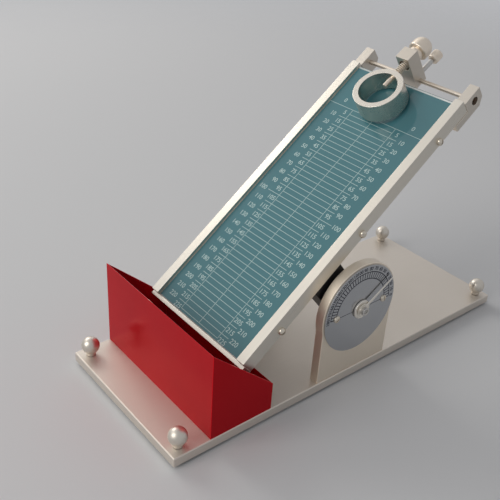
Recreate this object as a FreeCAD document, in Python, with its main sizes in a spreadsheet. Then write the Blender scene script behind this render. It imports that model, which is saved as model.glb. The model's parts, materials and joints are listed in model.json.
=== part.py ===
import FreeCAD
import Part
import Sketcher
import math
import os
from types import SimpleNamespace

# Rolling-ball tack tester, in millimetres.
# A ball released at the head of an inclined scale rolls down it into a tray.
# X runs along the base from the tray to the rear, Y to the left, Z up.
# The origin is on the floor, under the middle of the base plate.

SIZES = {
    # Base plate and its levelling feet
    "base_length": 375,
    "base_width": 149,
    "base_thickness": 8,
    "base_corner_radius": 1,
    "base_edge_chamfer": 0.6,
    "base_ground_gap": 2.4,
    "leveller_inset": 9.8,
    "level_stud_diameter": 6,
    "ball_knob_diameter": 14.9,
    "ball_knob_lift": 9.4,
    "ball_neck_diameter": 8,
    "ball_knob_gap": 0.4,
    "stud_reach_in_ball": 3,
    "foot_pad_diameter": 12,
    "foot_pad_height": 2,
    "foot_pad_floor": 0.8,
    "foot_pad_chamfer": 0.3,
    # Tray of folded sheet
    "tray_setback": 32.2,
    "tray_length": 58,
    "tray_side_inset": 0.5,
    "tray_front_height": 77,
    "tray_rear_height": 25,
    "tray_sheet": 1.2,
    "tray_screw_spacing": 80,
    # Stands with round heads
    "pivot_setback": 179,
    "pivot_rise": 60.3,
    "stand_radius": 41,
    "stand_width": 79.2,
    "stand_thickness": 8.5,
    "stand_inset": 1,
    "stand_screw_spacing": 50,
    "stand_screw_depth": 14,
    "bush_diameter": 16,
    "bush_flange_diameter": 22,
    "bush_flange_thickness": 2.5,
    # Angle dial and pointer
    "dial_diameter": 79,
    "dial_thickness": 1,
    "dial_screw_radius": 27,
    "dial_centre_hole": 11.2,
    "pointer_gap": 0.3,
    "hub_diameter": 16.8,
    "hub_length": 1.9,
    "hub_chamfer": 0.4,
    "needle_eye_diameter": 11,
    "needle_root_width": 3.2,
    "needle_tip_width": 1.2,
    "needle_length": 38.4,
    "needle_thickness": 1,
    "needle_lag": 6,
    "pointer_washer_diameter": 9.4,
    "pointer_washer_thickness": 0.9,
    "pointer_head_diameter": 7,
    "pointer_head_height": 2.4,
    # Pivot shaft, pivot blocks and angle lock
    "shaft_diameter": 10,
    "shaft_nose_diameter": 6,
    "lock_thread_diameter": 8,
    "pivot_block_length": 31,
    "pivot_block_rear": 12.5,
    "pivot_block_thickness": 20,
    "pivot_block_drop": 14,
    "pivot_block_gap": 0.2,
    "grub_screw_length": 5.5,
    "lock_gap": 0.2,
    "lock_washer_diameter": 18,
    "lock_washer_thickness": 1,
    "lock_knob_diameter": 28,
    "lock_knob_chamfer": 1,
    # Inclined deck
    "deck_tilt": 38.4,
    "deck_rise": 54.5,
    "deck_side_gap": 2,
    "deck_below_pivot": 95.9,
    "deck_above_pivot": 176.6,
    "board_shortfall": 1.5,
    "board_thickness": 7,
    "glass_thickness": 3,
    "rail_width": 8.5,
    "rail_lip": 3.2,
    "lip_thickness": 3.5,
    "rail_screw_pitch": 99,
    "rail_screw_last": 36.3,
    "rail_screw_drop": 6.2,
    # End brackets and cross rod
    "bracket_length": 19.5,
    "bracket_overlap": 0.5,
    "bracket_tongue_length": 16.5,
    "bracket_tongue_thickness": 6.5,
    "bracket_corner": 6,
    "rod_diameter": 4,
    "rod_beyond_rails": 10.5,
    "rod_below_glass": 7.5,
    "rod_recess_depth": 4.5,
    "rod_recess_diameter": 7.2,
    "rod_screw_diameter": 2,
    "rod_screw_head_height": 1.6,
    # Release head on the rod
    "head_offset": 1.5,
    "head_tip": 4,
    "block_depth": 12.8,
    "block_width": 14,
    "block_above_rod": 29.5,
    "block_below_rod": 3.5,
    "spindle_rise": 21,
    "spindle_diameter": 4,
    "pin_diameter": 4.4,
    "pin_reach": 10.5,
    "flange_diameter": 7,
    "flange_thickness": 1.5,
    "spring_bore_diameter": 10,
    "spring_bore_depth": 6.2,
    "spring_diameter": 6.8,
    "spring_wire": 1,
    "spring_turns": 8.5,
    "spring_end_gap": 0.1,
    "ring_reach": 39.3,
    "ring_outer_diameter": 44,
    "ring_wall": 5,
    "ring_height": 18,
    "ring_glass_gap": 0.3,
    "ring_chamfer": 0.2,
    "ring_spot_depth": 0.6,
    "guide_diameter": 8,
    "guide_depth": 5,
    "guide_collar_diameter": 13,
    "guide_collar_length": 4.6,
    "knob_stop_gap": 0.1,
    "knob_diameter": 18.5,
    "knob_barrel": 5.5,
    "spindle_in_knob": 9.4,
    "thumb_stud_diameter": 4.5,
    "thumb_stud_reach": 17.6,
    "thumb_knob_diameter": 9.8,
    "thumb_knob_length": 10,
    "thumb_knob_chamfer": 0.8,
    "thumb_rod_gap": 0.4,
    # Screws by thread size
    "fine_screw_diameter": 2.5,
    "fine_head_diameter": 4.6,
    "fine_head_height": 1.4,
    "small_screw_diameter": 3,
    "small_head_diameter": 5.6,
    "small_head_height": 2,
    "small_screw_grip": 8,
    "medium_screw_diameter": 4,
    "medium_head_diameter": 7.4,
    "medium_head_height": 2.2,
    "medium_screw_grip": 6,
    "large_screw_diameter": 5,
    "large_head_diameter": 8.5,
    "large_head_height": 5,
    "slot_width": 0.8,
    # Clearances, radial on round fits
    "fixed_fit": 0.02,
    "running_fit": 0.03,
    "screw_passage": 0.15,
    "head_recess": 0.3,
}

doc = FreeCAD.newDocument("ball_tack_tester")
sheet = doc.addObject("Spreadsheet::Sheet", "Sizes")
for row, (alias, number) in enumerate(SIZES.items(), start=1):
    sheet.set(f"A{row}", alias)
    sheet.set(f"B{row}", str(number))
    sheet.setAlias(f"B{row}", alias)
doc.recompute()


class Size:
    """A length or an angle: its number, and the spreadsheet expression that gives it."""

    def __init__(self, number, text=None):
        self.number = float(number)
        self.text = text or repr(float(number))

    def __add__(self, other):
        other = sized(other)
        return Size(self.number + other.number, f"({self.text} + {other.text})")

    def __radd__(self, other):
        return sized(other) + self

    def __sub__(self, other):
        other = sized(other)
        return Size(self.number - other.number, f"({self.text} - {other.text})")

    def __rsub__(self, other):
        return sized(other) - self

    def __mul__(self, other):
        other = sized(other)
        return Size(self.number * other.number, f"({self.text} * {other.text})")

    def __rmul__(self, other):
        return sized(other) * self

    def __truediv__(self, other):
        other = sized(other)
        return Size(self.number / other.number, f"({self.text} / {other.text})")

    def __neg__(self):
        return 0 - self


def sized(value):
    return value if isinstance(value, Size) else Size(value)


def cosine(angle):
    return Size(math.cos(math.radians(angle.number)), f"cos({angle.text})")


def sine(angle):
    return Size(math.sin(math.radians(angle.number)), f"sin({angle.text})")


d = SimpleNamespace(**{alias: Size(sheet.get(alias), f"Sizes.{alias}") for alias in SIZES})

X_AXIS = FreeCAD.Vector(1, 0, 0)
Y_AXIS = FreeCAD.Vector(0, 1, 0)
TURN = {
    "x": FreeCAD.Rotation(Y_AXIS, 90),
    "y": FreeCAD.Rotation(X_AXIS, -90),
    "z": FreeCAD.Rotation(),
}
ACROSS = {"x": "yz", "y": "xz", "z": "xy"}


def bind(thing, path, size):
    """Tie one property to the spreadsheet."""
    thing.setExpression(path, sized(size).text)


def put(thing, along, low, at):
    """Stand a shape on its axis: along x, y or z, from low, through the point at of the other two."""
    thing.Placement = FreeCAD.Placement(FreeCAD.Vector(), TURN[along])
    bind(thing, f"Placement.Base.{along}", low)
    for axis, place in zip(ACROSS[along], at):
        bind(thing, f"Placement.Base.{axis}", place)
    return thing


def block(x, y, z):
    """A rectangular block between three pairs of limits."""
    solid = doc.addObject("Part::Box", "block")
    for (low, high), side, axis in zip((x, y, z), ("Length", "Width", "Height"), "xyz"):
        bind(solid, side, sized(high) - low)
        bind(solid, f"Placement.Base.{axis}", low)
    return solid


def bar(along, low, high, diameter, at=(0, 0)):
    """A round bar, or the bore that one leaves."""
    solid = doc.addObject("Part::Cylinder", "bar")
    bind(solid, "Radius", sized(diameter) / 2)
    bind(solid, "Height", sized(high) - low)
    return put(solid, along, low, at)


def ball(diameter, along, low, at=(0, 0)):
    solid = doc.addObject("Part::Sphere", "ball")
    bind(solid, "Radius", sized(diameter) / 2)
    return put(solid, along, low, at)


def hexagon(along, low, high, across_corners, at=(0, 0)):
    solid = doc.addObject("Part::Prism", "hexagon")
    solid.Polygon = 6
    bind(solid, "Circumradius", sized(across_corners) / 2)
    bind(solid, "Height", sized(high) - low)
    return put(solid, along, low, at)


def join(*solids):
    union = doc.addObject("Part::MultiFuse", "join")
    union.Shapes = list(solids)
    union.Refine = True
    return union


def cut(solid, *tools):
    result = doc.addObject("Part::Cut", "cut")
    result.Base = solid
    result.Tool = tools[0] if len(tools) == 1 else join(*tools)
    return result


def outline(body, plane, points):
    """A closed sketch of straight lines through points given by sizes."""
    sketch = body.newObject("Sketcher::SketchObject", "outline")
    faces = [face for face in body.Origin.OriginFeatures if face.Role == plane]
    sketch.AttachmentSupport = [(faces[0], "")]
    sketch.MapMode = "FlatFace"
    points = [(sized(across), sized(up)) for across, up in points]
    corners = [FreeCAD.Vector(across.number, up.number, 0) for across, up in points]
    for start, end in zip(corners, corners[1:] + corners[:1]):
        sketch.addGeometry(Part.LineSegment(start, end))
    for line in range(len(points)):
        following = (line + 1) % len(points)
        sketch.addConstraint(Sketcher.Constraint("Coincident", line, 2, following, 1))
    for line, place in enumerate(points):
        for kind, size in zip(("DistanceX", "DistanceY"), place):
            index = sketch.addConstraint(Sketcher.Constraint(kind, -1, 1, line, 1, size.number))
            bind(sketch, f"Constraints[{index}]", size)
    return sketch


def slab(points, low, high):
    """An outline in X and Z, as thick as the two limits in Y."""
    body = doc.addObject("PartDesign::Body", "slab")
    pad = body.newObject("PartDesign::Pad", "pad")
    pad.Profile = outline(body, "XZ_Plane", points)
    pad.Midplane = True
    bind(pad, "Length", sized(high) - low)
    bind(body, "Placement.Base.y", (sized(high) + low) / 2)
    return body


def turning(along, low, at, points):
    """A turned piece: points are radius and distance along the axis from low."""
    body = doc.addObject("PartDesign::Body", "turning")
    sketch = outline(body, "XZ_Plane", points)
    spin = body.newObject("PartDesign::Revolution", "spin")
    spin.Profile = sketch
    spin.ReferenceAxis = (sketch, ["V_Axis"])
    spin.Angle = 360
    return put(body, along, low, at)


def span(start, length, way):
    """The two limits of a length that runs from start, up if way is 1 and down if it is -1."""
    return (sized(start), start + length) if way > 0 else (start - length, sized(start))


def side_span(inner, outer, side):
    """The limits in Y of what lies between two distances from the middle, on one side."""
    return (sized(inner), sized(outer)) if side > 0 else (-sized(outer), -sized(inner))


def thread(name):
    """One thread size with its head, from the sheet."""
    return SimpleNamespace(
        diameter=getattr(d, f"{name}_screw_diameter"),
        head_diameter=getattr(d, f"{name}_head_diameter"),
        head_height=getattr(d, f"{name}_head_height"),
    )


FINE = thread("fine")
SMALL = thread("small")
MEDIUM = thread("medium")
LARGE = thread("large")
SOCKET_SHARE = 0.55
SLOT_SHARE = 0.5


def screw(along, seat, out, at, size, length, socket=False):
    """A screw whose head stands out from its seat, with a hexagon socket or a slot."""
    head = bar(along, *span(seat, size.head_height, out), size.head_diameter, at)
    shank = bar(along, *span(seat, length, -out), size.diameter, at)
    top = seat + size.head_height * out
    if socket:
        drive = hexagon(along, *span(top, size.head_height * SOCKET_SHARE, -out), size.diameter, at)
    else:
        drive = slot(along, top, out, at, size)
    return cut(join(head, shank), drive)


def slot(along, top, out, at, size):
    """The groove for a screwdriver across a head."""
    limits = {along: span(top, size.head_height * SLOT_SHARE, -out)}
    first, second = ACROSS[along]
    limits[first] = (at[0] - d.slot_width / 2, at[0] + d.slot_width / 2)
    limits[second] = (at[1] - size.head_diameter, at[1] + size.head_diameter)
    return block(limits["x"], limits["y"], limits["z"])


def tapped(along, seat, out, at, size, depth):
    """The threaded hole of a screw, below its seat."""
    return bar(along, *span(seat, depth, -out), size.diameter + 2 * d.fixed_fit, at)


def passage(along, low, high, at, size):
    """The plain hole that a screw passes through."""
    return bar(along, low, high, size.diameter + 2 * d.screw_passage, at)


def recess(along, seat, out, at, size, depth):
    """The round sinking that a head lies in, above its seat."""
    return bar(along, *span(seat, depth, out), size.head_diameter + 2 * d.head_recess, at)


# Levels and places that several pieces share
base_top = d.base_ground_gap + d.base_thickness
pivot_x = d.pivot_setback - d.base_length / 2
pivot_z = base_top + d.pivot_rise
stand_outer = d.base_width / 2 - d.stand_inset
stand_inner = stand_outer - d.stand_thickness
board_top = d.deck_rise - d.glass_thickness
board_bottom = board_top - d.board_thickness
rail_outer = stand_inner - d.deck_side_gap
rail_inner = rail_outer - d.rail_width
rail_end = d.deck_above_pivot
board_end = rail_end - d.board_shortfall
low_end = -d.deck_below_pivot
rod_along = rail_end + d.rod_beyond_rails
rod_height = d.deck_rise - d.rod_below_glass
arm_tilt = d.deck_tilt - d.head_tip

# Frames: a turn about the pivot's direction, then a place
GROUND = (sized(0), sized(0), sized(0), sized(0))
DECK = (d.deck_tilt, pivot_x, sized(0), pivot_z)
NEEDLE = (d.deck_tilt - d.needle_lag, pivot_x, sized(0), pivot_z)
ARM = (
    arm_tilt,
    pivot_x + rod_along * cosine(d.deck_tilt) - rod_height * sine(d.deck_tilt),
    d.head_offset,
    pivot_z + rod_along * sine(d.deck_tilt) + rod_height * cosine(d.deck_tilt),
)

NODES = []


def node(label, frame, *solids):
    """One named piece, or a group of like pieces, set in its frame."""
    piece = doc.addObject("Part::Compound", label)
    piece.Label = label
    piece.Links = list(solids)
    angle, x, y, z = frame
    piece.Placement = FreeCAD.Placement(FreeCAD.Vector(), FreeCAD.Rotation(-Y_AXIS, angle.number))
    bind(piece, "Placement.Rotation.Angle", angle)
    for axis, place in zip("xyz", (x, y, z)):
        bind(piece, f"Placement.Base.{axis}", place)
    NODES.append(piece)


# Base plate: rounded corners, a broken top edge, threaded holes for the levelling feet,
# sunk holes from below for the stands' screws and threaded holes for the tray's screws
SIDES = {"left": 1, "right": -1}
ENDS = {"front": -1, "rear": 1}
leveller_x = d.base_length / 2 - d.leveller_inset
leveller_y = d.base_width / 2 - d.leveller_inset
stand_middle = stand_outer - d.stand_thickness / 2
stand_screw_places = [
    (pivot_x + end * d.stand_screw_spacing / 2, side * stand_middle)
    for side in SIDES.values()
    for end in ENDS.values()
]
tray_front = d.tray_setback - d.base_length / 2
tray_middle = tray_front + d.tray_length / 2
half_tray = d.base_width / 2 - d.tray_side_inset
tray_screw_places = [(tray_middle, side * d.tray_screw_spacing / 2) for side in SIDES.values()]
stand_screw_seat = d.base_ground_gap + LARGE.head_height + d.head_recess


def base_plate():
    body = doc.addObject("PartDesign::Body", "plate")
    half_length = d.base_length / 2
    half_width = d.base_width / 2
    corners = [
        (-half_length, -half_width),
        (half_length, -half_width),
        (half_length, half_width),
        (-half_length, half_width),
    ]
    pad = body.newObject("PartDesign::Pad", "pad")
    pad.Profile = outline(body, "XY_Plane", corners)
    bind(pad, "Length", d.base_thickness)
    bind(body, "Placement.Base.z", d.base_ground_gap)
    doc.recompute()
    corners = body.newObject("PartDesign::Fillet", "corners")
    corners.Base = (pad, edges(pad, upright=True, top=d.base_thickness))
    bind(corners, "Radius", d.base_corner_radius)
    doc.recompute()
    rim = body.newObject("PartDesign::Chamfer", "rim")
    rim.Base = (corners, edges(corners, upright=False, top=d.base_thickness))
    bind(rim, "Size", d.base_edge_chamfer)
    return body


def edges(feature, upright, top):
    """Names of a plate's corner edges, or of the edges round its top face."""
    names = []
    for number, edge in enumerate(feature.Shape.Edges, start=1):
        heights = [vertex.Z for vertex in edge.Vertexes]
        stands = max(heights) - min(heights) > top.number / 2
        on_top = min(heights) > top.number / 2
        if stands if upright else on_top:
            names.append(f"Edge{number}")
    return names


level_bore = d.level_stud_diameter + 2 * d.running_fit
holes = [
    bar("z", d.base_ground_gap, base_top, level_bore, (end * leveller_x, side * leveller_y))
    for end in ENDS.values()
    for side in SIDES.values()
]
for place in stand_screw_places:
    holes.append(passage("z", stand_screw_seat, base_top, place, LARGE))
    holes.append(recess("z", stand_screw_seat, -1, place, LARGE, stand_screw_seat - d.base_ground_gap))
for place in tray_screw_places:
    holes.append(tapped("z", base_top, 1, place, MEDIUM, d.medium_screw_grip + d.head_recess))
node("base_plate", GROUND, cut(base_plate(), *holes))

# Levelling feet: a ball knob and a pad fixed on a stud that is screwed through the plate
ball_centre = base_top + d.ball_knob_lift
knob_bottom = base_top + d.ball_knob_gap
stud_top = ball_centre + d.stud_reach_in_ball
stud_socket = d.level_stud_diameter + 2 * d.fixed_fit
for end_name, end in ENDS.items():
    for side_name, side in SIDES.items():
        place = (end * leveller_x, side * leveller_y)
        corner = f"{end_name}_{side_name}"
        neck = bar("z", knob_bottom, ball_centre, d.ball_neck_diameter, place)
        knob = join(ball(d.ball_knob_diameter, "z", ball_centre, place), neck)
        knob_bore = bar("z", knob_bottom, stud_top + d.fixed_fit, stud_socket, place)
        node(f"ball_knob_{corner}", GROUND, cut(knob, knob_bore))
        stud = bar("z", d.foot_pad_floor, stud_top, d.level_stud_diameter, place)
        node(f"level_stud_{corner}", GROUND, stud)
        pad_radius = d.foot_pad_diameter / 2
        pad = turning("z", 0, place, [
            (0, 0),
            (pad_radius - d.foot_pad_chamfer, 0),
            (pad_radius, d.foot_pad_chamfer),
            (pad_radius, d.foot_pad_height - d.foot_pad_chamfer),
            (pad_radius - d.foot_pad_chamfer, d.foot_pad_height),
            (stud_socket / 2, d.foot_pad_height),
            (stud_socket / 2, d.foot_pad_floor),
            (0, d.foot_pad_floor),
        ])
        node(f"foot_pad_{corner}", GROUND, pad)

# Tray: a folded sheet box, tall in front and low behind, screwed down through its floor
tray_rear = tray_front + d.tray_length
tray_floor = base_top + d.tray_sheet
tray_shell = slab(
    [
        (tray_front, base_top),
        (tray_rear, base_top),
        (tray_rear, base_top + d.tray_rear_height),
        (tray_front, base_top + d.tray_front_height),
    ],
    -half_tray,
    half_tray,
)
tray_hollow = block(
    (tray_front + d.tray_sheet, tray_rear - d.tray_sheet),
    (d.tray_sheet - half_tray, half_tray - d.tray_sheet),
    (tray_floor, base_top + d.tray_front_height + d.tray_sheet),
)
tray_holes = [passage("z", base_top, tray_floor, place, MEDIUM) for place in tray_screw_places]
node("ball_tray", GROUND, cut(tray_shell, tray_hollow, *tray_holes))
tray_screw_length = d.tray_sheet + d.medium_screw_grip
tray_screws = [screw("z", tray_floor, 1, place, MEDIUM, tray_screw_length) for place in tray_screw_places]
node("tray_screws", GROUND, *tray_screws)

# Stands: upright plates with round heads, held by two screws each from under the base,
# with a flanged bush for the pivot shaft; the right one carries the angle dial
pivot = (pivot_x, pivot_z)
dial_face = stand_outer + d.dial_thickness
dial_screw_places = [(pivot_x + end * d.dial_screw_radius, pivot_z) for end in ENDS.values()]
dial_screw_depth = d.stand_thickness / 2
for side_name, side in SIDES.items():
    thick = side_span(stand_inner, stand_outer, side)
    column = block((pivot_x - d.stand_width / 2, pivot_x + d.stand_width / 2), thick, (base_top, pivot_z))
    head = bar("y", *thick, 2 * d.stand_radius, pivot)
    holes = [bar("y", *thick, d.bush_diameter + 2 * d.fixed_fit, pivot)]
    for place in stand_screw_places:
        if place[1].number * side > 0:
            holes.append(bar("z", base_top, base_top + d.stand_screw_depth + d.head_recess,
                             LARGE.diameter + 2 * d.fixed_fit, place))
    if side_name == "right":
        holes += [tapped("y", -stand_outer, -1, place, FINE, dial_screw_depth) for place in dial_screw_places]
    node(f"stand_{side_name}", GROUND, cut(join(column, head), *holes))
    sleeve = bar("y", *side_span(stand_inner, stand_outer, side), d.bush_diameter, pivot)
    flange_limits = side_span(stand_inner - d.bush_flange_thickness, stand_inner, side)
    flange = bar("y", *flange_limits, d.bush_flange_diameter, pivot)
    bore_limits = side_span(stand_inner - d.bush_flange_thickness, stand_outer, side)
    bush_bore = bar("y", *bore_limits, d.shaft_diameter + 2 * d.running_fit, pivot)
    node(f"bush_{side_name}", GROUND, cut(join(sleeve, flange), bush_bore))
stand_screw_length = base_top + d.stand_screw_depth - stand_screw_seat
stand_screws = [
    screw("z", stand_screw_seat, -1, place, LARGE, stand_screw_length, socket=True)
    for place in stand_screw_places
]
node("stand_screws", GROUND, *stand_screws)

# Angle dial: a thin disc on the right stand, held by two screws
dial_limits = side_span(stand_outer, dial_face, -1)
dial = bar("y", *dial_limits, d.dial_diameter, pivot)
dial_holes = [passage("y", *dial_limits, place, FINE) for place in dial_screw_places]
dial_holes.append(bar("y", *dial_limits, d.dial_centre_hole, pivot))
node("dial_plate", GROUND, cut(dial, *dial_holes))
dial_screws = [
    screw("y", -dial_face, -1, place, FINE, d.dial_thickness + dial_screw_depth - d.head_recess)
    for place in dial_screw_places
]
node("dial_screws", GROUND, *dial_screws)

# Pivot shaft: runs through both stands, with a nose for the pointer's hub on the right
# and a threaded nose for the lock knob on the left
hub_inner = dial_face + d.pointer_gap
hub_outer = hub_inner + d.hub_length
needle_outer = hub_outer + d.needle_thickness
washer_outer = needle_outer + d.pointer_washer_thickness
side_reach = washer_outer + d.pointer_head_height
lock_washer_inner = stand_outer + d.lock_gap
lock_knob_inner = lock_washer_inner + d.lock_washer_thickness + d.lock_gap
thread_end = side_reach - d.lock_knob_chamfer
POINTER = SimpleNamespace(
    diameter=d.medium_screw_diameter,
    head_diameter=d.pointer_head_diameter,
    head_height=d.pointer_head_height,
)
pointer_screw_length = washer_outer - hub_inner + d.medium_screw_grip
shaft = join(
    bar("y", -hub_inner, stand_outer, d.shaft_diameter),
    bar("y", -hub_outer, -hub_inner, d.shaft_nose_diameter),
    bar("y", stand_outer, thread_end, d.lock_thread_diameter),
)
shaft_bore = tapped("y", -hub_outer, -1, (0, 0), POINTER, d.hub_length + d.medium_screw_grip + d.head_recess)
node("pivot_shaft", DECK, cut(shaft, shaft_bore))

# Pointer: a hub on the shaft's nose, a thin needle, a washer and a socket screw
hub_radius = d.hub_diameter / 2
hub_bore_radius = d.shaft_nose_diameter / 2 + d.fixed_fit
hub = turning("y", -hub_outer, (0, 0), [
    (hub_bore_radius, 0),
    (hub_radius - d.hub_chamfer, 0),
    (hub_radius, d.hub_chamfer),
    (hub_radius, d.hub_length),
    (hub_bore_radius, d.hub_length),
])
node("pointer_hub", DECK, hub)
needle_limits = (-needle_outer, -hub_outer)
blade = slab(
    [
        (0, -d.needle_root_width / 2),
        (d.needle_length, -d.needle_tip_width / 2),
        (d.needle_length, d.needle_tip_width / 2),
        (0, d.needle_root_width / 2),
    ],
    *needle_limits,
)
eye = bar("y", *needle_limits, d.needle_eye_diameter)
needle_hole = passage("y", *needle_limits, (0, 0), POINTER)
node("pointer_needle", NEEDLE, cut(join(blade, eye), needle_hole))
washer_limits = (-washer_outer, -needle_outer)
washer = bar("y", *washer_limits, d.pointer_washer_diameter)
node("pointer_washer", DECK, cut(washer, passage("y", *washer_limits, (0, 0), POINTER)))
node("pointer_screw", DECK, screw("y", -washer_outer, -1, (0, 0), POINTER, pointer_screw_length, socket=True))

# Angle lock: a washer and a turned knob on the shaft's threaded left nose
lock_bore = d.lock_thread_diameter + 2 * d.running_fit
lock_washer_limits = (lock_washer_inner, lock_washer_inner + d.lock_washer_thickness)
lock_washer = bar("y", *lock_washer_limits, d.lock_washer_diameter)
node("lock_washer", DECK, cut(lock_washer, bar("y", *lock_washer_limits, lock_bore)))
lock_length = side_reach - lock_knob_inner
lock_radius = d.lock_knob_diameter / 2
lock_knob = turning("y", lock_knob_inner, (0, 0), [
    (lock_bore / 2, 0),
    (lock_radius - d.lock_knob_chamfer, 0),
    (lock_radius, d.lock_knob_chamfer),
    (lock_radius, lock_length - d.lock_knob_chamfer),
    (lock_radius - d.lock_knob_chamfer, lock_length),
    (lock_bore / 2, lock_length),
])
node("lock_knob", DECK, lock_knob)

# Pivot blocks: clamped on the shaft by grub screws, and screwed up against the deck's board
block_outer = stand_inner - d.bush_flange_thickness - d.pivot_block_gap
block_inner = block_outer - d.pivot_block_thickness
block_front = d.pivot_block_rear - d.pivot_block_length
block_screw_across = (block_inner + rail_inner) / 2
block_screw_places = [block_front + d.pivot_block_length / 4, d.pivot_block_rear - d.pivot_block_length / 4]
block_screw_seat = board_top - d.medium_head_height - d.head_recess
block_screw_depth = d.board_thickness + d.medium_screw_grip
grub_start = d.shaft_diameter / 2 + d.fixed_fit
grub_screws = []
block_screws = []
for side_name, side in SIDES.items():
    thick = side_span(block_inner, block_outer, side)
    solid = block((block_front, d.pivot_block_rear), thick, (-d.pivot_block_drop, board_bottom))
    middle = side * (block_inner + block_outer) / 2
    grub_size = d.medium_screw_diameter
    holes = [
        bar("y", *thick, d.shaft_diameter + 2 * d.fixed_fit),
        bar("x", 0, d.pivot_block_rear, grub_size + 2 * d.fixed_fit, (middle, 0)),
    ]
    for along in block_screw_places:
        place = (along, side * block_screw_across)
        holes.append(tapped("z", board_bottom, 1, place, MEDIUM, 2 * d.medium_screw_grip))
        block_screws.append(screw("z", block_screw_seat, 1, place, MEDIUM, block_screw_depth))
    node(f"pivot_block_{side_name}", DECK, cut(solid, *holes))
    grub = bar("x", grub_start, grub_start + d.grub_screw_length, grub_size, (middle, 0))
    grub_socket = hexagon("x", grub_start + d.grub_screw_length / 2, grub_start + d.grub_screw_length,
                          grub_size * SOCKET_SHARE, (middle, 0))
    grub_screws.append(cut(grub, grub_socket))
node("shaft_grub_screws", DECK, *grub_screws)
node("pivot_block_screws", DECK, *block_screws)

# Deck: a board and a scale glass between two rails, closed by a lip at the low end
rail_top = d.deck_rise + d.rail_lip
rail_screw_height = d.deck_rise - d.rail_screw_drop
rail_screw_places = [rail_end - d.rail_screw_last - index * d.rail_screw_pitch for index in range(3)]
lip_screw_across = (rail_inner + rail_outer) / 2
lip_screw_height = (board_bottom + d.deck_rise) / 2
lip_limits = (low_end - d.lip_thickness, low_end)
lip_screw_seat = low_end - d.lip_thickness + d.small_head_height
bracket_screw_places = [
    rail_end - d.bracket_tongue_length * share for share in (0.3, 0.7)
]
bracket_bottom = board_bottom - d.bracket_tongue_thickness
bracket_screw_seat = bracket_bottom + d.small_head_height + d.head_recess
side_screws = []
for side_name, side in SIDES.items():
    thick = side_span(rail_inner, rail_outer, side)
    rail = block((low_end, rail_end), thick, (board_bottom, rail_top))
    holes = [passage("y", *thick, (along, rail_screw_height), SMALL) for along in rail_screw_places]
    holes.append(tapped("x", low_end, -1, (side * lip_screw_across, lip_screw_height), SMALL,
                        d.small_screw_grip + d.head_recess))
    for along in bracket_screw_places:
        place = (along, side * lip_screw_across)
        holes.append(tapped("z", board_bottom, -1, place, SMALL, d.small_screw_grip))
    node(f"rail_{side_name}", DECK, cut(rail, *holes))
    for along in rail_screw_places:
        side_screws.append(screw("y", side * rail_outer, side, (along, rail_screw_height), SMALL,
                                 d.rail_width + d.small_screw_grip))
node("rail_screws", DECK, *side_screws)

board = block((low_end, board_end), (-rail_inner, rail_inner), (board_bottom, board_top))
holes = []
for side in SIDES.values():
    for along in rail_screw_places:
        holes.append(tapped("y", side * rail_inner, side, (along, rail_screw_height), SMALL,
                            d.small_screw_grip + d.head_recess))
    for along in block_screw_places:
        place = (along, side * block_screw_across)
        holes.append(passage("z", board_bottom, block_screw_seat, place, MEDIUM))
        holes.append(recess("z", block_screw_seat, 1, place, MEDIUM, board_top - block_screw_seat))
node("deck_board", DECK, cut(board, *holes))
glass = block((low_end, board_end), (-rail_inner, rail_inner), (board_top, d.deck_rise))
node("scale_glass", DECK, glass)

lip = block(lip_limits, (-rail_outer, rail_outer), (board_bottom, d.deck_rise))
lip_holes = []
lip_screws = []
lip_screw_length = low_end - lip_screw_seat + d.small_screw_grip
for side in SIDES.values():
    place = (side * lip_screw_across, lip_screw_height)
    lip_holes.append(passage("x", lip_screw_seat, low_end, place, SMALL))
    lip_holes.append(recess("x", lip_screw_seat, -1, place, SMALL, d.small_head_height))
    lip_screws.append(screw("x", lip_screw_seat, -1, place, SMALL, lip_screw_length))
node("end_lip", DECK, cut(lip, *lip_holes))
node("lip_screws", DECK, *lip_screws)

# End brackets: blocks past the rails' high ends with a tongue screwed under each rail,
# bored for the cross rod and sunk on the outside for the rod's end screws
bracket_end = rail_end + d.bracket_length
bracket_inner = rail_inner - d.bracket_overlap
bracket_outer = rail_outer + d.bracket_overlap
rod_place = (rod_along, rod_height)
rod_end = bracket_outer - d.rod_recess_depth
bracket_screws = []
for side_name, side in SIDES.items():
    thick = side_span(bracket_inner, bracket_outer, side)
    solid = slab(
        [
            (rail_end - d.bracket_tongue_length, bracket_bottom),
            (bracket_end - d.bracket_corner, bracket_bottom),
            (bracket_end, bracket_bottom + d.bracket_corner),
            (bracket_end, d.deck_rise),
            (rail_end, d.deck_rise),
            (rail_end, board_bottom),
            (rail_end - d.bracket_tongue_length, board_bottom),
        ],
        *thick,
    )
    holes = [
        bar("y", *thick, d.rod_diameter + 2 * d.running_fit, rod_place),
        bar("y", *side_span(rod_end, bracket_outer, side), d.rod_recess_diameter, rod_place),
    ]
    for along in bracket_screw_places:
        place = (along, side * lip_screw_across)
        holes.append(passage("z", bracket_screw_seat, board_bottom, place, SMALL))
        holes.append(recess("z", bracket_screw_seat, -1, place, SMALL, bracket_screw_seat - bracket_bottom))
        bracket_screws.append(screw("z", bracket_screw_seat, -1, place, SMALL,
                                    board_bottom - bracket_screw_seat + d.small_screw_grip - d.head_recess))
    node(f"bracket_{side_name}", DECK, cut(solid, *holes))
node("bracket_screws", DECK, *bracket_screws)

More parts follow.
